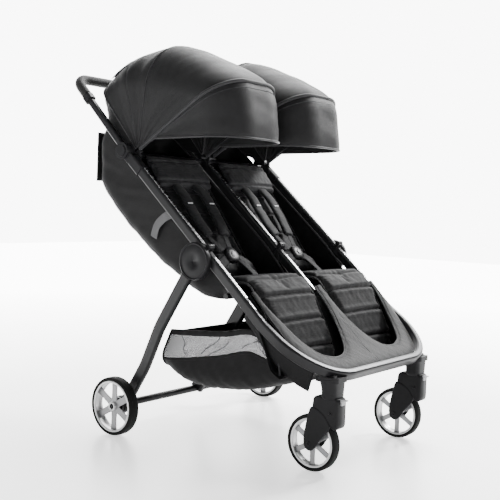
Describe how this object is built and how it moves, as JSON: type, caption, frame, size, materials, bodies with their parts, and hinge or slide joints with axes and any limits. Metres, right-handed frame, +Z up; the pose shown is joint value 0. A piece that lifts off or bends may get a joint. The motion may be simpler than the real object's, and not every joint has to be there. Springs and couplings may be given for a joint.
{
  "type": "twin stroller",
  "caption": "Side-by-side twin folding stroller with swivel front wheels, reclining seats, sun canopies, under-seat basket and folding push handle.",
  "frame": {"origin": "on the ground, under the middle of the whole box", "axes": "+Z up, -Y is the direction of travel, +X is the seated child's left; the two seats mirror each other across X"},
  "size_m": [0.76, 0.9864, 1.1532],
  "materials": {
    "frame_black": "satin black powder coat",
    "bright_trim": "bright brushed strip",
    "black_plastic": "fine-grained moulded plastic",
    "tyre": "smooth foam tyre",
    "rim_silver": "silver painted rim",
    "grip": "ribbed soft grip",
    "canopy_cloth": "black coated cloth",
    "seat_cloth": "dark quilted cloth",
    "hammock_cloth": "plain black cloth",
    "basket_cloth": "black cloth and pale mesh",
    "webbing": "woven webbing",
    "steel": "plain steel"
  },
  "bodies": {
    "lower_frame": {"lower_rails": "frame_black", "front_loop": "frame_black", "lower_trim": "bright_trim", "centre_rail_lower": "frame_black", "seat_crossbar": "frame_black", "hub_knuckles": "black_plastic", "footwell_panel": "black_plastic", "caster_brackets": "black_plastic", "seat_pads": "seat_cloth", "harness_buckles": "black_plastic", "basket": "basket_cloth"},
    "upper_frame": {"upper_rails": "frame_black", "centre_rail_upper": "frame_black", "upper_trim": "bright_trim", "handle_joints": "black_plastic", "canopy_clips": "black_plastic", "seat_hammock": "hammock_cloth", "canopy_rear_left": "canopy_cloth", "canopy_rear_right": "canopy_cloth"},
    "rear_frame": {"rear_legs": "frame_black", "hub_discs": "black_plastic", "centre_leg": "frame_black", "rear_cross_tube": "frame_black", "brake_housings": "black_plastic"},
    "brake_pedal": {"brake_pedal": "black_plastic"},
    "handle": {"handle_bar": "frame_black", "handle_grip": "grip", "handle_collars": "black_plastic"},
    "rear_wheel_right": {"rear_tyre_right": "tyre", "rear_rim_right": "rim_silver", "brake_ring_right": "frame_black"},
    "caster_right": {"caster_block_right": "black_plastic"},
    "fork_right": {"caster_fork_right": "black_plastic"},
    "front_wheel_right": {"front_tyre_right": "tyre", "front_rim_right": "rim_silver"},
    "swivel_lock_right": {"swivel_lock_right": "black_plastic"},
    "brake_pin_right": {"brake_pin_right": "steel"},
    "fold_button_right": {"fold_button_right": "black_plastic"},
    "canopy_mid_right": {"mid_bow_right": "steel", "canopy_top_right": "canopy_cloth"},
    "canopy_front_right": {"front_bow_right": "steel", "canopy_visor_right": "canopy_cloth"},
    "seat_back_right": {"seat_back_right": "seat_cloth", "shoulder_straps_right": "webbing"},
    "rear_wheel_left": {"rear_tyre_left": "tyre", "rear_rim_left": "rim_silver", "brake_ring_left": "frame_black"},
    "caster_left": {"caster_block_left": "black_plastic"},
    "fork_left": {"caster_fork_left": "black_plastic"},
    "front_wheel_left": {"front_tyre_left": "tyre", "front_rim_left": "rim_silver"},
    "swivel_lock_left": {"swivel_lock_left": "black_plastic"},
    "brake_pin_left": {"brake_pin_left": "steel"},
    "fold_button_left": {"fold_button_left": "black_plastic"},
    "canopy_mid_left": {"mid_bow_left": "steel", "canopy_top_left": "canopy_cloth"},
    "canopy_front_left": {"front_bow_left": "steel", "canopy_visor_left": "canopy_cloth"},
    "seat_back_left": {"seat_back_left": "seat_cloth", "shoulder_straps_left": "webbing"}
  },
  "joints": [
    {"name": "frame_fold", "type": "hinge", "parent": "lower_frame", "child": "upper_frame", "pos_m": [0, -0.10224, 0.57551], "axis": [1, 0, 0], "range_deg": [0, 120], "deforming": ["basket", "seat_hammock"]},
    {"name": "rear_frame_fold", "type": "hinge", "parent": "lower_frame", "child": "rear_frame", "pos_m": [0, -0.06616, 0.534], "axis": [-1, 0, 0], "range_deg": [0, 48]},
    {"name": "handle_fold", "type": "hinge", "parent": "upper_frame", "child": "handle", "pos_m": [0, 0.23803, 0.8395], "axis": [1, 0, 0], "range_deg": [-140, 0]},
    {"name": "brake_pedal_press", "type": "hinge", "parent": "rear_frame", "child": "brake_pedal", "pos_m": [0, 0.21984, 0.086], "axis": [-1, 0, 0], "range_deg": [0, 22]},
    {"name": "rear_wheel_right_spin", "type": "hinge", "parent": "rear_frame", "child": "rear_wheel_right", "pos_m": [-0.363, 0.21984, 0.086], "axis": [1, 0, 0], "continuous": true},
    {"name": "caster_right_swivel", "type": "hinge", "parent": "lower_frame", "child": "caster_right", "pos_m": [-0.229, -0.45216, 0.206], "axis": [0, 0, 1], "continuous": true},
    {"name": "fork_right_spring", "type": "hinge", "parent": "caster_right", "child": "fork_right", "pos_m": [-0.229, -0.42216, 0.164], "axis": [1, 0, 0], "range_deg": [0, 8], "stiffness_Nm_per_rad": 60, "springref_deg": -4.58},
    {"name": "front_wheel_right_spin", "type": "hinge", "parent": "fork_right", "child": "front_wheel_right", "pos_m": [-0.229, -0.39816, 0.076], "axis": [1, 0, 0], "continuous": true},
    {"name": "swivel_lock_right_slide", "type": "slide", "parent": "caster_right", "child": "swivel_lock_right", "axis": [0, 0, 1], "range_m": [0, 0.007]},
    {"name": "brake_pin_right_slide", "type": "slide", "parent": "rear_frame", "child": "brake_pin_right", "axis": [-1, 0, 0], "range_m": [0, 0.008]},
    {"name": "fold_button_right_press", "type": "slide", "parent": "upper_frame", "child": "fold_button_right", "axis": [1, 0, 0], "range_m": [0, 0.003], "stiffness_N_per_m": 400, "springref_m": -0.002},
    {"name": "canopy_mid_right_tilt", "type": "hinge", "parent": "upper_frame", "child": "canopy_mid_right", "pos_m": [-0.1655, 0.20403, 0.8395], "axis": [-1, 0, 0], "range_deg": [0, 30], "deforming": ["canopy_rear_right"]},
    {"name": "canopy_right_open", "type": "hinge", "parent": "canopy_mid_right", "child": "canopy_front_right", "pos_m": [-0.1655, 0.20403, 0.8395], "axis": [1, 0, 0], "range_deg": [-40, 0], "deforming": ["canopy_top_right"]},
    {"name": "seat_back_right_recline", "type": "hinge", "parent": "upper_frame", "child": "seat_back_right", "pos_m": [-0.165, -0.05016, 0.474], "axis": [-1, 0, 0], "range_deg": [0, 25]},
    {"name": "rear_wheel_left_spin", "type": "hinge", "parent": "rear_frame", "child": "rear_wheel_left", "pos_m": [0.363, 0.21984, 0.086], "axis": [1, 0, 0], "continuous": true},
    {"name": "caster_left_swivel", "type": "hinge", "parent": "lower_frame", "child": "caster_left", "pos_m": [0.229, -0.45216, 0.206], "axis": [0, 0, 1], "continuous": true},
    {"name": "fork_left_spring", "type": "hinge", "parent": "caster_left", "child": "fork_left", "pos_m": [0.229, -0.42216, 0.164], "axis": [1, 0, 0], "range_deg": [0, 8], "stiffness_Nm_per_rad": 60, "springref_deg": -4.58},
    {"name": "front_wheel_left_spin", "type": "hinge", "parent": "fork_left", "child": "front_wheel_left", "pos_m": [0.229, -0.39816, 0.076], "axis": [1, 0, 0], "continuous": true},
    {"name": "swivel_lock_left_slide", "type": "slide", "parent": "caster_left", "child": "swivel_lock_left", "axis": [0, 0, 1], "range_m": [0, 0.007]},
    {"name": "brake_pin_left_slide", "type": "slide", "parent": "rear_frame", "child": "brake_pin_left", "axis": [1, 0, 0], "range_m": [0, 0.008]},
    {"name": "fold_button_left_press", "type": "slide", "parent": "upper_frame", "child": "fold_button_left", "axis": [-1, 0, 0], "range_m": [0, 0.003], "stiffness_N_per_m": 400, "springref_m": -0.002},
    {"name": "canopy_mid_left_tilt", "type": "hinge", "parent": "upper_frame", "child": "canopy_mid_left", "pos_m": [0.1655, 0.20403, 0.8395], "axis": [-1, 0, 0], "range_deg": [0, 30], "deforming": ["canopy_rear_left"]},
    {"name": "canopy_left_open", "type": "hinge", "parent": "canopy_mid_left", "child": "canopy_front_left", "pos_m": [0.1655, 0.20403, 0.8395], "axis": [1, 0, 0], "range_deg": [-40, 0], "deforming": ["canopy_top_left"]},
    {"name": "seat_back_left_recline", "type": "hinge", "parent": "upper_frame", "child": "seat_back_left", "pos_m": [0.165, -0.05016, 0.474], "axis": [-1, 0, 0], "range_deg": [0, 25]}
  ],
  "couplings": [
    {"joint": "rear_frame_fold", "follows": "frame_fold", "ratio": 0.4},
    {"joint": "canopy_mid_right_tilt", "follows": "frame_fold", "ratio": 0.25},
    {"joint": "brake_pin_right_slide", "follows": "brake_pedal_press", "m_per_rad": 0.020835},
    {"joint": "canopy_mid_left_tilt", "follows": "frame_fold", "ratio": 0.25},
    {"joint": "brake_pin_left_slide", "follows": "brake_pedal_press", "m_per_rad": 0.020835}
  ]
}
